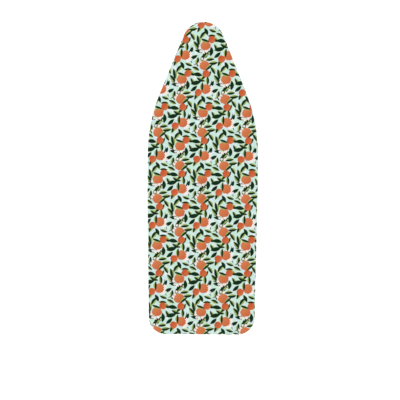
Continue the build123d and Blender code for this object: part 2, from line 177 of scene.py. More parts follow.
class StageSettings(bpy.types.PropertyGroup):
    camera_height: length("Camera height", "Height of the camera over the board", 2.6)
    picture_width: length("Picture width", "What the picture spans at the board", 0.6515)
    offset_x: length("Offset across", "Camera's place across the board", -4.1 * MM)
    offset_y: length("Offset along", "Camera's place along the board", -35.8 * MM)
    turn: FloatProperty(name="Turn", description="Turn of the picture round the view line",
                        default=math.radians(0.4), subtype="ANGLE")
    sky: FloatProperty(name="Sky", description="Strength of the even light", default=1.0)
    lamp_power: FloatProperty(name="Lamp", description="Power of the soft lamp in watts",
                              default=3.5)


class BoardSettings(bpy.types.PropertyGroup):
    shape: PointerProperty(type=BoardShape)
    cloth: PointerProperty(type=ClothSettings)
    hem: PointerProperty(type=HemSettings)
    finish: PointerProperty(type=FinishSettings)
    stage: PointerProperty(type=StageSettings)


def settings():
    return bpy.context.scene.sleeve_board


# ---- outline ------------------------------------------------------------------------------
def board_corners(shape):
    """The corners, and their radii, of the polygon that the outline rounds off."""
    half = COVER_HIGH[0]
    nose_y, tail_y = COVER_HIGH[1], COVER_LOW[1]
    slope, lean = math.sin(shape.flank_angle), math.cos(shape.flank_angle)
    flank = (nose_y - shape.nose_radius) * slope + shape.nose_radius
    side = [
        (half, (flank - half * lean) / slope, shape.shoulder_radius),
        (half, shape.waist_y, shape.waist_radius),
        (shape.tail_width / 2, tail_y, shape.tail_corner),
    ]
    corners = [(0.0, flank / slope, shape.nose_radius), *side]
    corners += [(-x, y, radius) for x, y, radius in reversed(side)]
    return [(Vector((x, y)), radius) for x, y, radius in corners]


def rounded_corner(before, corner, after, radius, steps):
    """Points and outward normals along the arc that rounds one corner."""
    way_in = (corner - before).normalized()
    way_out = (after - corner).normalized()
    turn = way_in.angle(way_out)
    reach = radius * math.tan(turn / 2)
    start = corner - way_in * reach
    inward = Vector((way_in.y, -way_in.x))
    centre = start + inward * radius
    arc = []
    for step in range(steps + 1):
        angle = -turn * step / steps
        out = -inward
        normal = Vector((out.x * math.cos(angle) - out.y * math.sin(angle),
                         out.x * math.sin(angle) + out.y * math.cos(angle)))
        arc.append((centre + normal * radius, normal))
    return arc, 1 / radius


def sample_pitch(tight):
    return OPEN_PITCH + (TIGHT_PITCH - OPEN_PITCH) * tight


def board_loop(shape):
    """Samples round the outline, closer together in a corner: point, normal, tightness, run."""
    corners = board_corners(shape)
    dense = []
    for i, (corner, radius) in enumerate(corners):
        before = corners[i - 1][0]
        after = corners[(i + 1) % len(corners)][0]
        arc, bend = rounded_corner(before, corner, after, radius, ARC_STEPS)
        dense += [(point, normal, bend) for point, normal in arc]
    dense.append(dense[0])
    samples = []
    run = 0.0
    for (a, na, bend_a), (b, nb, _) in zip(dense, dense[1:]):
        span = (b - a).length
        if span < 1e-7:
            continue
        bend = bend_a if na.angle(nb) > 1e-5 else 0.0
        tight = min(max((bend - SOFT_BEND) / (SHARP_BEND - SOFT_BEND), 0.0), 1.0)
        pieces = max(1, round(span / sample_pitch(tight)))
        for step in range(pieces):
            share = step / pieces
            samples.append((a.lerp(b, share), na.lerp(nb, share).normalized(), tight,
                            run + span * share))
        run += span
    thinned = [samples[0]]
    for sample in samples[1:]:
        if (sample[0] - thinned[-1][0]).length > 0.72 * sample_pitch(sample[2]):
            thinned.append(sample)
    return thinned


def softened(values, rounds):
    """Values round a closed loop, each drawn towards its neighbours."""
    for _ in range(rounds):
        count = len(values)
        values = [(values[i - 1] + values[i] * 2 + values[(i + 1) % count]) / 4
                  for i in range(count)]
    return values


def loop_area(points):
    """Area inside a closed loop."""
    return abs(sum(a.x * b.y - b.x * a.y for a, b in zip(points, points[1:] + points[:1]))) / 2


# ---- mesh helpers -------------------------------------------------------------------------
def linked(name, data):
    """A new object in the scene that holds some data."""
    piece = bpy.data.objects.new(name, data)
    bpy.context.collection.objects.link(piece)
    return piece


def finished(name, mesh, body, materials):
    """Links a mesh as a piece that rides on a body and has its materials."""
    piece = linked(name, mesh)
    for material in materials:
        mesh.materials.append(material)
    for face in mesh.polygons:
        face.use_smooth = True
    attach(piece, body)
    return piece


def ringed_mesh(name, rings, flats=None, closed_profile=False, merge=2e-6):
    """A mesh of quads between closed rings of points, with the flat cut as its UV map."""
    count = len(rings[0])
    mesh = bpy.data.meshes.new(name)
    points = [point for ring in rings for point in ring]
    pairs = list(zip(range(len(rings)), range(1, len(rings))))
    if closed_profile:
        pairs.append((len(rings) - 1, 0))
    faces = []
    for low, high in pairs:
        for i in range(count):
            j = (i + 1) % count
            faces.append((low * count + i, low * count + j, high * count + j, high * count + i))
    mesh.from_pydata(points, [], faces)
    if flats:
        layer = mesh.uv_layers.new(name="flat_cut")
        flat = [place for ring in flats for place in ring]
        for loop in mesh.loops:
            layer.data[loop.index].uv = flat[loop.vertex_index]
    work = bmesh.new()
    work.from_mesh(mesh)
    bmesh.ops.remove_doubles(work, verts=work.verts, dist=merge)
    bmesh.ops.recalc_face_normals(work, faces=work.faces)
    work.to_mesh(mesh)
    work.free()
    return mesh


def facing_up(mesh, inside_height):
    """Turns a shell round if its top faces point down."""
    top = max(mesh.polygons, key=lambda face: face.center.z)
    if (top.normal.z < 0) == (top.center.z > inside_height):
        mesh.flip_normals()


# ---- material helpers ---------------------------------------------------------------------
class Graph:
    """Short ways to add and join nodes in one tree."""

    def __init__(self, tree):
        self.tree = tree

    def node(self, kind, *inputs, **options):
        made = self.tree.nodes.new(kind)
        for key, value in options.items():
            setattr(made, key, value)
        for socket, value in zip(made.inputs, inputs):
            self.feed(socket, value)
        return made

    def feed(self, socket, value):
        if value is None:
            return
        if isinstance(value, bpy.types.NodeSocket):
            self.tree.links.new(value, socket)
        elif socket.type == "RGBA" and len(value) == 3:
            socket.default_value = (*value, 1.0)
        else:
            socket.default_value = value

    def named(self, kind, inputs, **options):
        """A node whose inputs are fed by name."""
        made = self.node(kind, **options)
        for name, value in inputs.items():
            self.feed(made.inputs[name], value)
        return made

    def sum(self, operation, *values, clamp=False):
        return self.node("ShaderNodeMath", *values, operation=operation, use_clamp=clamp).outputs[0]

    def vector(self, operation, *values):
        made = self.node("ShaderNodeVectorMath", operation=operation)
        for socket, value in zip(made.inputs, values):
            self.feed(socket, value)
        return made

    def plane(self, vector):
        """The first two parts of a vector; takes less of the shader's stack than a split."""
        return [self.vector("DOT_PRODUCT", vector, axis).outputs["Value"]
                for axis in ((1.0, 0.0, 0.0), (0.0, 1.0, 0.0))]

    def mix(self, share, below, above, blend="MIX"):
        made = self.node("ShaderNodeMix", data_type="RGBA", blend_type=blend)
        for name, value in (("Factor_Float", share), ("A_Color", below), ("B_Color", above)):
            self.feed(next(s for s in made.inputs if s.identifier == name), value)
        return next(s for s in made.outputs if s.identifier == "Result_Color")

    def noise(self, vector, scale, detail=2.0, roughness=0.5):
        return self.named("ShaderNodeTexNoise", {
            "Vector": vector, "Scale": scale, "Detail": detail,
            "Roughness": roughness}).outputs[0]

    def ramp(self, value, low, high, out_low=0.0, out_high=1.0):
        made = self.node("ShaderNodeMapRange")
        for name, given in (("Value", value), ("From Min", low), ("From Max", high),
                            ("To Min", out_low), ("To Max", out_high)):
            self.feed(made.inputs[name], given)
        return made.outputs[0]

    def bump(self, height, strength, distance, normal=None):
        made = self.node("ShaderNodeBump")
        self.feed(made.inputs["Height"], height)
        made.inputs["Strength"].default_value = strength
        made.inputs["Distance"].default_value = distance
        self.feed(made.inputs["Normal"], normal)
        return made.outputs[0]

    def coordinates(self, output="Object"):
        return self.node("ShaderNodeTexCoord").outputs[output]


def new_material(name, **sockets):
    """A material with its shader's plain values set; returns it, its graph and its shader."""
    material = bpy.data.materials.new(name)
    material.use_nodes = True
    tree = material.node_tree
    shader = tree.nodes["Principled BSDF"]
    for key, value in sockets.items():
        socket = shader.inputs[key.replace("_", " ")]
        if socket.type == "RGBA" and len(value) == 3:
            value = (*value, 1.0)
        socket.default_value = value
    return material, Graph(tree), shader


def new_group(name, inputs, outputs):
    """A node group with named inputs, given as (socket type, name, default)."""
    tree = bpy.data.node_groups.new(name, "ShaderNodeTree")
    for kind, label, default in inputs:
        socket = tree.interface.new_socket(label, in_out="INPUT", socket_type=kind)
        if default is not None:
            socket.default_value = default
    for kind, label in outputs:
        tree.interface.new_socket(label, in_out="OUTPUT", socket_type=kind)
    graph = Graph(tree)
    return tree, graph, graph.node("NodeGroupInput").outputs, graph.node("NodeGroupOutput").inputs


def grouped(graph, tree, *inputs):
    """An instance of a node group, joined to its inputs."""
    made = graph.node("ShaderNodeGroup", node_tree=tree)
    for socket, value in zip(made.inputs, inputs):
        graph.feed(socket, value)
    return made.outputs[0]


# ---- print --------------------------------------------------------------------------------
# A plain citrus print. Sprigs stand in rows that shift by half, and each is worked out by rule:
# a large fruit, a smaller one behind it, leaves fanned round both, twigs and a few blossoms.
SPRIG_ROWS = 3


def print_layout(cloth):
    """The two steps of the repeat, and where its sprigs stand."""
    half, drop = cloth.repeat_width / 2, cloth.row_drop
    steps = Vector((2 * half, 0, 0)), Vector((-half, -SPRIG_ROWS * drop, 0))
    return steps, [Vector((row % 2 * half, -row * drop, 0)) for row in range(SPRIG_ROWS)]


def around(angle, reach):
    return reach * math.cos(angle), reach * math.sin(angle)


def leaf_fan(drawn, cloth, lead, lean):
    """Leaves at even angles round a sprig, each a little off its place, leaning one way."""
    leaves = []
    for k in range(cloth.fan_leaves):
        angle = lead + math.tau * (k + drawn.uniform(-0.2, 0.2)) / cloth.fan_leaves
        place = around(angle, cloth.fan_reach * drawn.uniform(0.88, 1.12))
        half_length = cloth.fan_leaf * drawn.uniform(0.8, 1.15)
        leaves.append((*place, angle + lean + drawn.uniform(-0.4, 0.4), half_length,
                       half_length * 0.32, drawn.uniform(-0.5, 0.5), drawn.choice((-1, 1, 1, 0))))
    return leaves


def sprig(drawn, cloth, lead, lean):
    """One sprig round the origin that points along lead: its leaves under the fruit, its fruit,
    its leaves over them and its blossoms."""
    large, small = cloth.large_fruit, cloth.small_fruit
    middle = Vector(around(lead, -0.3 * large))
    mate = middle + Vector(around(lead + 0.5 * lean, 0.95 * (large + small)))
    twigs = []
    for side in (-1, 1):
        angle = lead + math.pi + side * 0.55
        twigs.append((*around(angle, 1.7 * large), angle + side * 0.9, 0.75 * large, 0.07 * large,
                      0.5 * side, 0))
    stalk = (*(middle + Vector(around(lead - 0.9 * lean, 0.95 * large))), lead - 2.4 * lean,
             0.75 * large, 0.22 * large, 0.5, 1)
    fruit = [(*mate, small, small, True), (*middle, 1.04 * large, 0.97 * large, False)]
    blossoms = []
    for k in range(cloth.blossoms):
        angle = lead + math.pi - lean * 0.3 + (k - 0.5 * cloth.blossoms) * 0.46
        place = middle + Vector(around(angle, large * drawn.uniform(1.1, 1.55)))
        blossoms.append((*place, cloth.blossom_radius * drawn.uniform(0.75, 1.15)))
    return leaf_fan(drawn, cloth, lead, lean) + twigs, fruit, [stalk], blossoms


def repeat_group(steps):
    """Brings every copy of a sprig's ground to one place."""
    tree, graph, given, out = new_group(
        "Print repeat", [("NodeSocketVector", "Place", None), ("NodeSocketVector", "Centre", None)],
        [("NodeSocketVector", "Local")])
    first, second = steps
    area = first.x * second.y - first.y * second.x
    across = Vector((second.y, -second.x, 0)) / area
    down = Vector((-first.y, first.x, 0)) / area
    local = graph.vector("SUBTRACT", given[0], given[1]).outputs[0]
    result = local
    for axis, step in ((across, first), (down, second)):
        share = graph.vector("DOT_PRODUCT", local, axis).outputs["Value"]
        whole = graph.sum("ROUND", share)
        shift = graph.node("ShaderNodeVectorMath", operation="SCALE")
        graph.feed(shift.inputs[0], step)
        graph.feed(shift.inputs["Scale"], whole)
        result = graph.vector("SUBTRACT", result, shift.outputs[0]).outputs[0]
    graph.feed(out[0], result)
    return tree


def shape_group(name, floats, colours):
    """A group that prints one shape over what is below it; also gives the place in the shape."""
    inputs = [("NodeSocketVector", label, None) for label in ("Place", "Centre", "Turn", "Size")]
    inputs += [("NodeSocketFloat", label, default) for label, default in floats.items()]
    inputs += [("NodeSocketColor", label, None) for label in (*colours, "Below")]
    tree, graph, given, out = new_group(name, inputs, [("NodeSocketColor", "Colour")])
    placed = graph.node("ShaderNodeMapping", given["Place"], given["Centre"], given["Turn"],
                        given["Size"], vector_type="TEXTURE").outputs[0]
    return tree, graph, given, out[0], placed


def leaf_group():
    """One pointed leaf, half dark and half light."""
    tree, graph, given, out, placed = shape_group(
        "Print leaf", {"Bend": 0.0, "Light side": 1.0}, ("Dark", "Light", "Wash"))
    along, across = graph.plane(placed)
    square = graph.sum("MULTIPLY", along, along)
    across = graph.sum("MULTIPLY_ADD", square, given["Bend"], across)
    room = graph.sum("SUBTRACT", 1.0, square)
    edge = graph.sum("SUBTRACT", room, graph.sum("ABSOLUTE", across))
    inside = graph.sum("MULTIPLY", edge, 9.0, clamp=True)
    lit = graph.sum("MULTIPLY", across, given["Light side"])
    lit = graph.sum("MULTIPLY_ADD", lit, 6.0, -1.2, clamp=True)
    tone = graph.mix(lit, given["Dark"], given["Light"])
    near = graph.sum("MULTIPLY_ADD", edge, 0.55, 0.5, clamp=True)
    washed = graph.mix(near, given["Below"], given["Wash"], "MULTIPLY")
    graph.feed(out, graph.mix(inside, washed, tone))
    return tree


def fruit_group():
    """One round fruit with mottled skin."""
    tree, graph, given, out, placed = shape_group("Print fruit", {"Mottle": 0.5},
                                                  ("Skin", "Shade"))
    reach = graph.vector("LENGTH", placed).outputs["Value"]
    uneven = graph.sum("MULTIPLY_ADD", given["Mottle"], 0.44, -0.22)
    edge = graph.sum("SUBTRACT", 1.0, graph.sum("ADD", reach, uneven))
    inside = graph.sum("MULTIPLY", edge, 22.0, clamp=True)
    low = graph.sum("SUBTRACT", *graph.plane(placed))
    shade = graph.ramp(graph.sum("MULTIPLY_ADD", given["Mottle"], 1.3, low), -0.2, 1.9, 0.0, 0.6)
    skin = graph.mix(shade, given["Skin"], given["Shade"])
    graph.feed(out, graph.mix(inside, given["Below"], skin))
    return tree


def blossom_group():
    """One five-petalled blossom with a warm middle."""
    tree, graph, given, out, placed = shape_group("Print blossom", {}, ("Petal", "Middle"))
    along, across = graph.plane(placed)
    angle = graph.sum("ARCTAN2", across, along)
    lobe = graph.sum("ABSOLUTE", graph.sum("COSINE", graph.sum("MULTIPLY", angle, 2.5)))
    room = graph.sum("MULTIPLY_ADD", lobe, 0.62, 0.38)
    reach = graph.vector("LENGTH", placed).outputs["Value"]
    inside = graph.sum("MULTIPLY", graph.sum("SUBTRACT", room, reach), 9.0, clamp=True)
    petals = graph.mix(inside, given["Below"], given["Petal"])
    middle = graph.sum("MULTIPLY", graph.sum("SUBTRACT", 0.2, reach), 14.0, clamp=True)
    graph.feed(out, graph.mix(middle, petals, given["Middle"]))
    return tree


def citrus_print(graph, flat, cloth):
    """The whole print, from the washed ground up to the blossoms."""
    steps, places = print_layout(cloth)
    repeat, leaf, fruit, blossom = repeat_group(steps), leaf_group(), fruit_group(), blossom_group()
    drawn = random.Random(cloth.print_seed)
    wash = graph.noise(flat, 75.0, 3.0, 0.6)
    result = graph.mix(graph.ramp(wash, 0.40, 0.62), cloth.ground, cloth.ground_cool)
    mottle = graph.noise(flat, 300.0, 3.0, 0.6)
    pale = tuple(0.25 * value + 0.75 for value in cloth.ground_cool)
    streak = graph.ramp(graph.noise(flat, 150.0, 2.0, 0.5), 0.52, 0.72, 0.0, 0.75)
    result = graph.mix(streak, result, pale)

    def leaves(below, local, specs, wash):
        for x, y, turn, half_length, half_width, bend, side in specs:
            size = (half_length * cloth.leaf_length, half_width * cloth.leaf_width, 1)
            below = grouped(graph, leaf, local, (x, y, 0), (0, 0, turn), size, bend, side,
                            cloth.leaf_dark, cloth.leaf_light, wash, below)
        return below

    for row, place in enumerate(places):
        local = grouped(graph, repeat, flat, place)
        lead = math.tau * row / SPRIG_ROWS + cloth.first_lead
        lean = cloth.lean if row % 2 else -cloth.lean
        under, fruits, over, blossoms = sprig(drawn, cloth, lead, lean)
        result = leaves(result, local, under, cloth.wash)
        for x, y, half_width, half_height, red in fruits:
            skin, shade = (cloth.red_orange, cloth.orange) if red else (
                cloth.orange, cloth.red_orange)
            result = grouped(graph, fruit, local, (x, y, 0), (0, 0, 0),
                             (half_width, half_height, 1), mottle, skin, shade, result)
        result = leaves(result, local, over, (1.0, 1.0, 1.0))
        for x, y, radius in blossoms:
            result = grouped(graph, blossom, local, (x, y, 0), (0, 0, x / MM),
                             (radius, radius, 1), cloth.petal, (0.75, 0.42, 0.10), result)
    return result


# ---- materials ----------------------------------------------------------------------------
def weave_height(graph, flat, pitch):
    """Plain weave: rounded warp and weft threads that pass over one another in turn."""
    waves = [graph.sum("SINE", graph.sum("MULTIPLY", part, math.pi / pitch))
             for part in graph.plane(flat)]
    return graph.sum("MULTIPLY", waves[0], waves[1])


def make_cloth_materials(cloth):
    """The printed face and the pale back of the cotton."""
    face, graph, shader = new_material(
        "printed_cotton", Roughness=0.9, Sheen_Weight=0.03, Sheen_Roughness=0.5,
        Specular_IOR_Level=0.06)
    flat = graph.node("ShaderNodeUVMap", uv_map="flat_cut").outputs[0]
    weave = weave_height(graph, flat, 0.45 * MM)
    printed = citrus_print(graph, flat, cloth)
    # Painted shade: the print is darkened by up to 5 % where the weave sinks between the threads
    thread = graph.ramp(weave, -1.0, 1.0, 0.95, 1.0)
    graph.feed(shader.inputs["Base Color"], graph.mix(1.0, printed, thread, "MULTIPLY"))
    creases = graph.noise(flat, 38.0, 3.0, 0.55)
    soft = graph.bump(creases, 0.12, 2 * MM)
    graph.feed(shader.inputs["Normal"], graph.bump(weave, 0.25, 0.12 * MM, soft))

    back, graph, shader = new_material("cotton_back", Roughness=0.9, Sheen_Weight=0.1)
    flat = graph.node("ShaderNodeUVMap", uv_map="flat_cut").outputs[0]
    weave = weave_height(graph, flat, 0.45 * MM)
    pale = tuple(0.5 * value + 0.4 for value in cloth.ground)
    tone = graph.mix(graph.noise(flat, 90.0), pale, cloth.ground)
    graph.feed(shader.inputs["Base Color"], tone)
    graph.feed(shader.inputs["Normal"], graph.bump(weave, 0.3, 0.12 * MM))
    return face, back


def make_tape_material(name, tint):
    """Ribbed cotton tape."""
    material, graph, shader = new_material(name, Roughness=0.85, Sheen_Weight=0.15)
    place = graph.coordinates()
    tone = graph.ramp(graph.noise(place, 260.0, 3.0, 0.6), 0.3, 0.7, 0.86, 1.06)
    graph.feed(shader.inputs["Base Color"], graph.mix(1.0, tint, tone, "MULTIPLY"))
    split = graph.node("ShaderNodeSeparateXYZ", place)
    ribs = [graph.sum("SINE", graph.sum("MULTIPLY", split.outputs[axis], math.pi / (0.4 * MM)))
            for axis in range(3)]
    height = graph.sum("ADD", graph.sum("MULTIPLY", ribs[0], ribs[1]), ribs[2])
    graph.feed(shader.inputs["Normal"], graph.bump(height, 0.35, 0.1 * MM))
    return material


def make_felt(tint):
    """Needle felt with loose fibres and a few coloured flecks."""
    material, graph, shader = new_material("needle_felt", Roughness=0.95, Sheen_Weight=0.25)
    place = graph.coordinates()
    fibres = graph.noise(place, 1400.0, 4.0, 0.75)
    clumps = graph.noise(place, 160.0, 2.0, 0.5)
    tone = graph.ramp(graph.sum("ADD", fibres, clumps), 0.7, 1.3, 0.7, 1.12)
    base = graph.mix(1.0, tint, tone, "MULTIPLY")
    fleck = graph.ramp(graph.noise(place, 520.0, 1.0, 0.4), 0.66, 0.7)
    graph.feed(shader.inputs["Base Color"], graph.mix(fleck, base, (0.16, 0.2, 0.3)))
    graph.feed(shader.inputs["Normal"], graph.bump(fibres, 0.5, 0.4 * MM))
    return material


def make_paint(name, tint):
    """Powder coat: a fine orange peel, faint cloudiness and dust."""
    material, graph, shader = new_material(name, Metallic=0.0, Coat_Weight=0.15,
                                           Coat_Roughness=0.3)
    place = graph.coordinates()
    peel = graph.noise(place, 900.0, 2.0, 0.5)
    cloud = graph.noise(place, 28.0, 3.0, 0.6)
    tone = graph.ramp(cloud, 0.3, 0.75, 0.93, 1.02)
    graph.feed(shader.inputs["Base Color"], graph.mix(1.0, tint, tone, "MULTIPLY"))
    graph.feed(shader.inputs["Roughness"], graph.ramp(cloud, 0.3, 0.7, 0.34, 0.5))
    graph.feed(shader.inputs["Normal"], graph.bump(peel, 0.18, 0.15 * MM))
    return material


def make_zinc(tint):
    """Bright zinc plating with drawn streaks and dull spangles."""
    material, graph, shader = new_material("zinc_plate", Metallic=1.0, Anisotropic=0.3)
    place = graph.coordinates()
    streaks = graph.noise(
        graph.node("ShaderNodeMapping", place, None, None, (160.0, 900.0, 900.0)).outputs[0],
        1.0, 2.0, 0.6)
    spangle = graph.noise(place, 240.0, 2.0, 0.6)
    warm = tuple(value * factor for value, factor in zip(tint, (0.98, 0.9, 0.74)))
    base = graph.mix(graph.ramp(spangle, 0.5, 0.75, 0.0, 0.6), tint, warm)
    tone = graph.ramp(streaks, 0.3, 0.7, 0.88, 1.05)
    graph.feed(shader.inputs["Base Color"], graph.mix(1.0, base, tone, "MULTIPLY"))
    graph.feed(shader.inputs["Roughness"], graph.ramp(spangle, 0.3, 0.7, 0.22, 0.42))
    graph.feed(shader.inputs["Normal"], graph.bump(streaks, 0.12, 0.1 * MM))
    return material


def make_moulded(name, tint, roughness, grain, subsurface=0.0):
    """Moulded plastic or rubber with a fine eroded grain."""
    material, graph, shader = new_material(name, Subsurface_Weight=subsurface,
                                           Subsurface_Scale=1.5 * MM)
    place = graph.coordinates()
    fine = graph.noise(place, grain, 3.0, 0.6)
    dust = graph.noise(place, 60.0, 3.0, 0.65)
    dusty = tuple(value * 0.9 + 0.05 for value in tint)
    base = graph.mix(graph.ramp(dust, 0.48, 0.75, 0.0, 0.55), tint, dusty)
    graph.feed(shader.inputs["Base Color"], base)
    graph.feed(shader.inputs["Roughness"],
               graph.ramp(dust, 0.3, 0.7, roughness - 0.06, min(roughness + 0.08, 1.0)))
    graph.feed(shader.inputs["Normal"], graph.bump(fine, 0.3, 0.12 * MM))
    return material


# ---- geometry nodes -----------------------------------------------------------------------
def input_key(tree, name):
    return next(item.identifier for item in tree.interface.items_tree
                if item.item_type == "SOCKET" and item.in_out == "INPUT" and item.name == name)


def beads_tree():
    """Round-ended beads laid along the lines of a mesh: stitches, or a run of weld."""
    tree = bpy.data.node_groups.new("Beads along a line", "GeometryNodeTree")
    face = tree.interface
    face.new_socket("Geometry", in_out="INPUT", socket_type="NodeSocketGeometry")
    for label, default in (("Pitch", 3 * MM), ("Length", 2 * MM), ("Radius", 0.3 * MM),
                           ("Unevenness", 0.1)):
        face.new_socket(label, in_out="INPUT", socket_type="NodeSocketFloat").default_value = default
    face.new_socket("Material", in_out="INPUT", socket_type="NodeSocketMaterial")
    face.new_socket("Geometry", in_out="OUTPUT", socket_type="NodeSocketGeometry")
    graph = Graph(tree)
    given = graph.node("NodeGroupInput").outputs
    line = graph.node("GeometryNodeMeshToCurve", given["Geometry"]).outputs[0]
    spaced = graph.named("GeometryNodeResampleCurve", {"Curve": line, "Length": given["Pitch"]},
                         mode="LENGTH")
    bead = graph.named("GeometryNodeMeshUVSphere", {"Segments": 8, "Rings": 6, "Radius": 1.0})
    stretch = graph.node("ShaderNodeCombineXYZ", given["Radius"], given["Radius"],
                         graph.sum("MULTIPLY", given["Length"], 0.5)).outputs[0]
    sized = graph.named("GeometryNodeTransform", {"Geometry": bead.outputs["Mesh"],
                                                  "Scale": stretch})
    way = graph.node("GeometryNodeInputTangent").outputs[0]
    aligned = graph.named("FunctionNodeAlignRotationToVector", {"Vector": way}, axis="Z")
    vary = graph.node("FunctionNodeRandomValue", data_type="FLOAT")
    low = graph.sum("SUBTRACT", 1.0, given["Unevenness"])
    high = graph.sum("ADD", 1.0, given["Unevenness"])
    for socket in vary.inputs:
        if socket.enabled and socket.name == "Min":
            graph.feed(socket, low)
        elif socket.enabled and socket.name == "Max":
            graph.feed(socket, high)
        elif socket.name == "Seed":
            socket.default_value = 7
    amount = next(s for s in vary.outputs if s.enabled)
    placed = graph.named("GeometryNodeInstanceOnPoints", {
        "Points": spaced.outputs[0], "Instance": sized.outputs[0],
        "Rotation": aligned.outputs[0], "Scale": amount})
    real = graph.node("GeometryNodeRealizeInstances", placed.outputs[0]).outputs[0]
    smooth = graph.named("GeometryNodeSetShadeSmooth", {"Geometry": real})
    painted = graph.named("GeometryNodeSetMaterial", {"Geometry": smooth.outputs[0],
                                                      "Material": given["Material"]})
    graph.feed(graph.node("NodeGroupOutput").inputs[0], painted.outputs[0])
    return tree


def through_nodes(name, source, tree, values, body):
    """Runs a geometry tree on a source mesh and keeps the plain mesh that it makes."""
    holder = linked(name + "_source", source)
    modifier = holder.modifiers.new("made", "NODES")
    modifier.node_group = tree
    for label, value in values.items():
        modifier[input_key(tree, label)] = value
    graph = bpy.context.evaluated_depsgraph_get()
    mesh = bpy.data.meshes.new_from_object(holder.evaluated_get(graph))
    if not mesh.polygons:
        raise RuntimeError(f"{name}: the geometry tree made nothing")
    bpy.data.objects.remove(holder)
    mesh.name = name
    piece = linked(name, mesh)
    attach(piece, body)
    return piece


def line_mesh(name, lines, closed=False):
    """A mesh of bare lines for a geometry tree to follow."""
    mesh = bpy.data.meshes.new(name)
    points, edges = [], []
    for line in lines:
        first = len(points)
        points += line
        edges += [(first + i, first + i + 1) for i in range(len(line) - 1)]
        if closed:
            edges.append((first + len(line) - 1, first))
    mesh.from_pydata(points, edges, [])
    return mesh


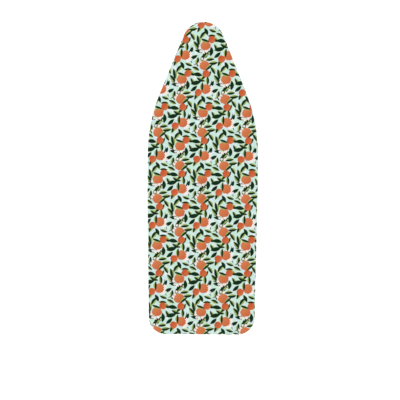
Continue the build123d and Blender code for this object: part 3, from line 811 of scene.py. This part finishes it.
# ---- covered top --------------------------------------------------------------------------
class Wrap:
    """How the cloth goes over the board: rings of points and the same points in the flat cut."""

    def __init__(self, board):
        self.shape, self.cloth, self.hem = board.shape, board.cloth, board.hem
        self.loop = board_loop(self.shape)
        self.top, self.bottom = COVER_HIGH[2], COVER_LOW[2]
        self.tight = softened([sample[2] for sample in self.loop], 24)
        self.gathers = self.gather_wave()
        inset = self.cloth.turn_under - self.hem.width / 2
        line = [point - normal * inset for point, normal, _, _ in self.loop]
        self.hem_line = softened(line, 900)

    def gather_wave(self):
        """For each sample, how far the gathers push the hem down."""
        phase, waves = 0.0, []
        count = len(self.loop)
        for i, (point, _, _, _) in enumerate(self.loop):
            tight = self.tight[i]
            pitch = self.cloth.ripple_pitch * (1 - tight) + self.cloth.pleat_pitch * tight
            phase += (point - self.loop[i - 1][0]).length / pitch if i else 0.0
            wander = 0.35 * noise.noise(Vector((point.x * 31, point.y * 31, 4.0)))
            depth = self.cloth.ripple_depth * (1 - tight) + self.cloth.pleat_depth * tight
            depth *= 0.8 + 0.5 * noise.noise(Vector((point.x * 24, point.y * 24, 9.0)))
            wave = 0.5 + 0.5 * math.sin(2 * math.pi * (phase + wander))
            fade = min(1.0, i / 12, (count - i) / 12)
            waves.append(depth * (wave ** 0.8) * fade)
        return waves

    def crown(self, inset):
        """Rise of the padded top at a distance in from the rim."""
        return self.shape.crown * (1 - math.exp(-max(inset, 0.0) / (22 * MM)))

    def pulled(self, place):
        """Where a point of the board's plan lies in the cut, which is pulled towards the nose."""
        ahead = max(place.y - self.cloth.pull_start, 0.0) ** 2
        return (place.x - self.cloth.drift * ahead, place.y - self.cloth.pull * ahead)

    def swell(self, x, y):
        """Slight unevenness of the padded top."""
        return 0.16 * MM * noise.noise(Vector((x * 21, y * 21, 0.0)))

    def inner_rings(self, start, height, rings, lift):
        """Rings from the middle line of the board out to a given inset."""
        made, flats = [], []
        for step in range(rings + 1):
            share = 1 - step / rings
            ring, flat = [], []
            for point, normal, _, _ in self.loop:
                edge = point - normal * start
                spine = Vector((0.0, point.y * 0.76))
                place = edge.lerp(spine, share)
                rise = self.crown(start + (place - edge).length) if lift else 0.0
                ripple = self.swell(place.x, place.y) if lift else 0.0
                ring.append((place.x, place.y, height + rise + ripple))
                flat.append(self.pulled(place))
            made.append(ring)
            flats.append(flat)
        return made, flats

    def profile(self, shrink):
        """Insets and heights from the flat top, over the rim and down the side."""
        roll = self.shape.rim_roll - shrink
        steps = []
        for step in range(9):
            angle = math.radians(90 * (1 - step / 8))
            steps.append((self.shape.rim_roll - roll * math.cos(angle),
                          self.top - self.shape.rim_roll + roll * math.sin(angle)))
        return steps

    def cover_rings(self):
        """Every ring of the cover's outer face, and the flat cut."""
        shape = self.shape
        rings, flats = self.inner_rings(MIDDLE_INSET, self.top, MIDDLE_RINGS, True)
        section = [(inset * MM, self.top) for inset in (12, 10, 8.4, 7, 6)]
        section += self.profile(0.0)
        wall_top, wall_bottom = self.top - shape.rim_roll, self.bottom + shape.under_roll
        for step in range(1, 6):
            share = step / 5
            bow = 0.25 * MM * math.sin(math.pi * share)
            section.append((0.35 * MM * share - bow,
                            wall_top + (wall_bottom - wall_top) * share))
        for step in range(1, 5):
            angle = math.radians(90 * step / 4)
            section.append((0.35 * MM + shape.under_roll * (1 - math.cos(angle)),
                            wall_bottom - shape.under_roll * math.sin(angle)))
        run, before = -MIDDLE_INSET, (MIDDLE_INSET, self.top)
        for inset, height in section:
            run += math.dist(before, (inset, height))
            before = (inset, height)
            down = min(max((self.top - shape.rim_roll - height) / (10 * MM), 0.0), 1.0)
            ring, flat = [], []
            for i, (point, normal, _, _) in enumerate(self.loop):
                place = point - normal * (inset - 0.16 * down * self.gathers[i])
                ripple = self.swell(place.x, place.y) if height > self.top - MM else 0.0
                rise = self.crown(inset) if height > self.top - shape.rim_roll + MM else 0.0
                ring.append((place.x, place.y, height + rise + ripple))
                flat.append(self.pulled(point + normal * run))
            rings.append(ring)
            flats.append(flat)
        start = before[0]
        for step in range(1, UNDER_ROWS + 1):
            share = step / UNDER_ROWS
            push = share * share * (3 - 2 * share)
            ring, flat = [], []
            for i, (point, normal, _, _) in enumerate(self.loop):
                edge = point - normal * start
                place = edge.lerp(self.hem_line[i], share)
                sag = self.gathers[i] * push
                ring.append((place.x, place.y, self.bottom - sag))
                out = point + normal * (run + (self.cloth.turn_under - start) * share)
                flat.append(self.pulled(out))
            rings.append(ring)
            flats.append(flat)
        self.cut_reach = run + self.cloth.turn_under - start
        self.settle(rings)
        return rings, flats

    def settle(self, rings):
        """Lets the turned-in cloth hang while its hem is drawn in, and keeps where it settles."""
        cloth = self.cloth
        drawn = rings[-UNDER_ROWS - HELD_ROWS:]
        top = drawn[0][0][2]
        hanging, run = [], 0.0
        for row, ring in enumerate(drawn):
            run += math.dist(ring[0], drawn[row - 1][0]) if row else 0.0
            hanging.append([(x, y, top - run * cloth.ease) for x, y, _ in drawn[0]])
        mesh = ringed_mesh("turn_in", hanging, merge=0.0)
        piece = linked("turn_in", mesh)
        piece.shape_key_add(name="Hanging")
        pulled = piece.shape_key_add(name="Drawn in")
        places = [place for ring in drawn for place in ring]
        for point, place in zip(pulled.data, places):
            point.co = place
        for frame_number, value in ((1, 0.0), (cloth.draw_frames, 1.0)):
            pulled.value = value
            pulled.keyframe_insert("value", frame=frame_number)
        group = piece.vertex_groups.new(name="held")
        count = len(self.loop)
        last = len(drawn) - 1
        group.add([row * count + i for row in (*range(HELD_ROWS), last) for i in range(count)], 1.0,
                  "REPLACE")
        drape = piece.modifiers.new("drape", "CLOTH")
        drape.settings.vertex_group_mass = "held"
        drape.settings.quality = 6
        drape.settings.mass = 0.2
        for way, stiffness in CLOTH_STIFFNESS.items():
            setattr(drape.settings, way + "_stiffness", stiffness)
        drape.settings.bending_stiffness = 0.06
        drape.collision_settings.use_collision = False
        drape.point_cache.frame_end = cloth.settle_frames
        scene = bpy.context.scene
        for frame_number in range(1, cloth.settle_frames + 1):
            scene.frame_set(frame_number)
        settled = piece.evaluated_get(bpy.context.evaluated_depsgraph_get()).data
        moved = [vertex.co.copy() for vertex in settled.vertices]
        bpy.data.objects.remove(piece)
        scene.frame_set(1)
        still = [Vector()] * count
        falls = [still]
        for row in range(HELD_ROWS, last):
            ways = []
            for i in range(count):
                way = moved[row * count + i] - Vector(drawn[row][i])
                if way.length > cloth.most_fall:
                    way *= cloth.most_fall / way.length
                ways.append(way)
            falls.append(softened(ways, 10))
        falls.append(still)
        for row in range(HELD_ROWS, last):
            before, here, after = falls[row - HELD_ROWS:row - HELD_ROWS + 3]
            for i, (x, y, z) in enumerate(drawn[row]):
                fall = (before[i] + here[i] * 2 + after[i]) / 4
                drawn[row][i] = (x + fall.x, y + fall.y, min(z + fall.z, self.bottom))

    def flat_cut(self):
        """Width, length and area of the cloth before it was put on."""
        cut = [point + normal * self.cut_reach for point, normal, _, _ in self.loop]
        width = max(p.x for p in cut) - min(p.x for p in cut)
        span = max(p.y for p in cut) - min(p.y for p in cut)
        return (width, span), loop_area(cut)

    def hem_section(self, share):
        """One point of the hem's rounded section, across and up, as a share of a turn."""
        angle = 2 * math.pi * share
        c, s = math.cos(angle), math.sin(angle)
        squareness = 0.62
        return (math.copysign(abs(c) ** squareness, c) * self.hem.width / 2,
                math.copysign(abs(s) ** squareness, s) * self.hem.height / 2)


def hem_frame(wrap, i):
    """Middle of the hem at one sample and the way in across it."""
    count = len(wrap.hem_line)
    way = (wrap.hem_line[(i + 1) % count] - wrap.hem_line[i - 1]).normalized()
    inward = Vector((way.y, -way.x))
    if inward.dot(wrap.loop[i][1]) > 0:
        inward = -inward
    drop = wrap.gathers[i] + wrap.hem.height / 2 + 0.1 * MM
    return wrap.hem_line[i], inward, wrap.bottom - drop


def hem_ring(wrap, across, up):
    """A ring that runs beside the middle of the hem, a way in across it and a way up."""
    ring = []
    for i in range(len(wrap.loop)):
        middle, inward, height = hem_frame(wrap, i)
        place = middle + inward * across
        ring.append((place.x, place.y, height + up))
    return ring


class BOARD_OT_cover(bpy.types.Operator):
    """Printed cotton cover, its gathered hem and the stitches that close it"""
    bl_idname = "sleeve_board.cover"
    bl_label = "Cover and hem"

    def execute(self, context):
        board = settings()
        wrap = Wrap(board)
        face, back = make_cloth_materials(board.cloth)
        rings, flats = wrap.cover_rings()
        mesh = ringed_mesh("cover_cloth", rings, flats)
        facing_up(mesh, wrap.top - MM)
        cover = finished("cover_cloth", mesh, "board", [face, back])
        solid = cover.modifiers.new("thickness", "SOLIDIFY")
        solid.thickness = board.cloth.thickness
        solid.offset = -1.0
        solid.material_offset = 1
        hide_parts("cover")

        tape = make_tape_material("hem_tape_cotton", board.hem.tape)
        sides = 14
        section_rings = [hem_ring(wrap, *wrap.hem_section(k / sides)) for k in range(sides)]
        mesh = ringed_mesh("hem_tape", section_rings, closed_profile=True)
        facing_up(mesh, 0.0)
        hem = finished("hem_tape", mesh, "board", [tape])
        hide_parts("hem_binding", "hem_elastic")

        beside, below = 0.36 * board.hem.width, -0.47 * board.hem.height
        lines = [hem_ring(wrap, across, below) for across in (beside, -beside)]
        thread = make_tape_material("sewing_thread", tuple(v * 0.5 + 0.45 for v in board.hem.tape))
        stitches = through_nodes(
            "hem_stitches", line_mesh("stitch_lines", lines, closed=True), beads_tree(),
            {"Pitch": board.hem.stitch_pitch, "Length": board.hem.stitch_length,
             "Radius": board.hem.thread_radius, "Unevenness": 0.08, "Material": thread},
            "board")
        return {"FINISHED"}


class BOARD_OT_pad(bpy.types.Operator):
    """Needle felt pad under the cover"""
    bl_idname = "sleeve_board.pad"
    bl_label = "Felt pad"

    def execute(self, context):
        board = settings()
        wrap = Wrap(board)
        gap = board.cloth.thickness + 0.2 * MM
        rings, _ = wrap.inner_rings(MIDDLE_INSET, wrap.top - gap, MIDDLE_RINGS, True)
        section = [(inset * MM, wrap.top - gap) for inset in (10, 8, 6.5)] + wrap.profile(gap)
        section += [(gap, PAD_BOTTOM + 0.8 * MM), (gap + 0.3 * MM, PAD_BOTTOM + 0.2 * MM),
                    (gap + MM, PAD_BOTTOM)]
        for inset, height in section:
            ring = []
            for point, normal, _, _ in wrap.loop:
                place = point - normal * inset
                rise = wrap.crown(inset) if height > wrap.top - 4 * MM else 0.0
                ring.append((place.x, place.y, height + rise))
            rings.append(ring)
        under, _ = wrap.inner_rings(MIDDLE_INSET, PAD_BOTTOM, 4, False)
        rings += list(reversed(under))
        mesh = ringed_mesh("felt_pad", rings)
        facing_up(mesh, 0.0)
        pad = finished("felt_pad", mesh, "board", [make_felt(board.finish.felt)])
        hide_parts("pad")
        return {"FINISHED"}


# ---- hard pieces --------------------------------------------------------------------------
def dress(material, *nodes):
    """Gives CAD nodes a finish without touching their meshes."""
    for name in nodes:
        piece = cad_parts[name]
        if not piece.material_slots:
            piece.data.materials.append(material)
        for holder in piece.material_slots:
            holder.material = material


def ends_and_sides(stem):
    return [f"{end}_{stem}_{side}" for end in ("front", "rear") for side in ("right", "left")]


class BOARD_OT_finishes(bpy.types.Operator):
    """Powder coat, zinc, nylon, vinyl and rubber on the hard pieces"""
    bl_idname = "sleeve_board.finishes"
    bl_label = "Hard finishes"

    def execute(self, context):
        tint = settings().finish
        dress(make_paint("stand_powder_coat", tint.stand), "base_frame", "front_tie", "rear_tie",
              "lock_tie", "front_strut", "rear_strut", *ends_and_sides("clevis"))
        dress(make_paint("rim_powder_coat", tint.rim), "edge_frame", "mesh_sheet", "rail_right",
              "rail_left")
        dress(make_zinc(tint.zinc), "lock_bracket", "bracket_rivets", "lock_pin", "lock_stay",
              "stay_rivet", "front_saddle_rivets", "rear_saddle_rivets", "front_lower_pins",
              "rear_lower_pins", "front_push_nuts", "rear_push_nuts")
        dress(make_moulded("saddle_nylon", tint.nylon, 0.5, 1500.0), *ends_and_sides("saddle"))
        dress(make_moulded("spacer_nylon", tint.spacer, 0.45, 1500.0, 0.1), "stay_spacer")
        dress(make_moulded("grip_vinyl", tint.vinyl, 0.28, 500.0, 0.05), "stay_grip")
        dress(make_moulded("foot_rubber", tint.rubber, 0.8, 1100.0), *ends_and_sides("foot"))
        return {"FINISHED"}


class BOARD_OT_welds(bpy.types.Operator):
    """Runs of weld that join the ties to the base and the clevises to their ties"""
    bl_idname = "sleeve_board.welds"
    bl_label = "Welds"

    def execute(self, context):
        tint = settings().finish
        lines = []
        rod_low, rod_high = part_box("base_frame")
        rod = rod_high[2] - rod_low[2]
        for tie in ("rear_tie", "front_tie", "lock_tie"):
            low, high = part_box(tie)
            rod_x = high[0] - rod / 2
            half = tint.weld_length / 2
            for side in (-1, 1):
                for edge in (low[1] - tint.weld_radius * 0.4, high[1] + tint.weld_radius * 0.4):
                    lines.append([(side * (rod_x - half), edge, rod_high[2] - 0.1 * MM),
                                  (side * (rod_x + half), edge, rod_high[2] - 0.1 * MM)])
        for clevis in ends_and_sides("clevis"):
            low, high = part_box(clevis)
            for x in (low[0] - tint.weld_radius * 0.2, high[0] + tint.weld_radius * 0.2):
                lines.append([(x, low[1] + MM, low[2]), (x, high[1] - MM, low[2])])
        through_nodes(
            "weld_beads", line_mesh("weld_lines", lines), beads_tree(),
            {"Pitch": tint.weld_radius * 0.9, "Length": tint.weld_radius * 1.9,
             "Radius": tint.weld_radius, "Unevenness": 0.16,
             "Material": make_paint("weld_powder_coat", tint.stand)},
            "base")
        return {"FINISHED"}


class BOARD_OT_stage(bpy.types.Operator):
    """Pale floor, soft light and the camera straight above"""
    bl_idname = "sleeve_board.stage"
    bl_label = "Stage"

    def execute(self, context):
        stage = settings().stage
        scene = context.scene
        scene.view_settings.view_transform = "Standard"
        scene.view_settings.look = "None"
        mesh = bpy.data.meshes.new("floor")
        half = 15.0
        mesh.from_pydata([(-half, -half, 0), (half, -half, 0), (half, half, 0), (-half, half, 0)],
                         [], [(0, 1, 2, 3)])
        floor = linked("floor", mesh)
        pale, _, _ = new_material("floor_paper", Base_Color=(0.9, 0.9, 0.9), Roughness=0.9,
                                  Specular_IOR_Level=0.0, Emission_Color=(1.0, 1.0, 1.0),
                                  Emission_Strength=0.4)
        mesh.materials.append(pale)

        world = bpy.data.worlds.new("even_light")
        world.use_nodes = True
        sky = world.node_tree.nodes["Background"]
        sky.inputs["Color"].default_value = (1.0, 1.0, 1.0, 1.0)
        sky.inputs["Strength"].default_value = stage.sky
        scene.world = world

        lamp_data = bpy.data.lights.new("soft_lamp", "AREA")
        lamp_data.shape = "DISK"
        lamp_data.size = 1.4
        lamp_data.energy = stage.lamp_power
        lamp = linked("soft_lamp", lamp_data)
        lamp.location = (-1.1, 0.9, 1.9)
        lamp.rotation_euler = (-lamp.location).to_track_quat("-Z", "Y").to_euler()

        eye_data = bpy.data.cameras.new("camera")
        eye_data.lens = eye_data.sensor_width * stage.camera_height / stage.picture_width
        eye_data.clip_end = 50.0
        eye = linked("camera", eye_data)
        eye.location = (stage.offset_x, stage.offset_y, CAD_BOX[1].z + stage.camera_height)
        eye.rotation_euler = (0.0, 0.0, stage.turn)
        scene.camera = eye
        return {"FINISHED"}


class BOARD_PT_panel(bpy.types.Panel):
    """Lists the board's operators"""
    bl_idname = "BOARD_PT_panel"
    bl_label = "Sleeve Board"
    bl_space_type = "VIEW_3D"
    bl_region_type = "UI"
    bl_category = "Sleeve Board"

    def draw(self, context):
        for operator in STEPS:
            self.layout.operator(operator.bl_idname)


STEPS = (BOARD_OT_stage, BOARD_OT_pad, BOARD_OT_cover, BOARD_OT_finishes, BOARD_OT_welds)
CLASSES = (BoardShape, ClothSettings, HemSettings, FinishSettings, StageSettings, BoardSettings,
           *STEPS, BOARD_PT_panel)


def register():
    for item in CLASSES:
        bpy.utils.register_class(item)
    bpy.types.Scene.sleeve_board = PointerProperty(type=BoardSettings)


def unregister():
    del bpy.types.Scene.sleeve_board
    for item in reversed(CLASSES):
        bpy.utils.unregister_class(item)


def main():
    register()
    for step in STEPS:
        group, name = step.bl_idname.split(".")
        getattr(getattr(bpy.ops, group), name)()


if __name__ == "__main__":
    main()
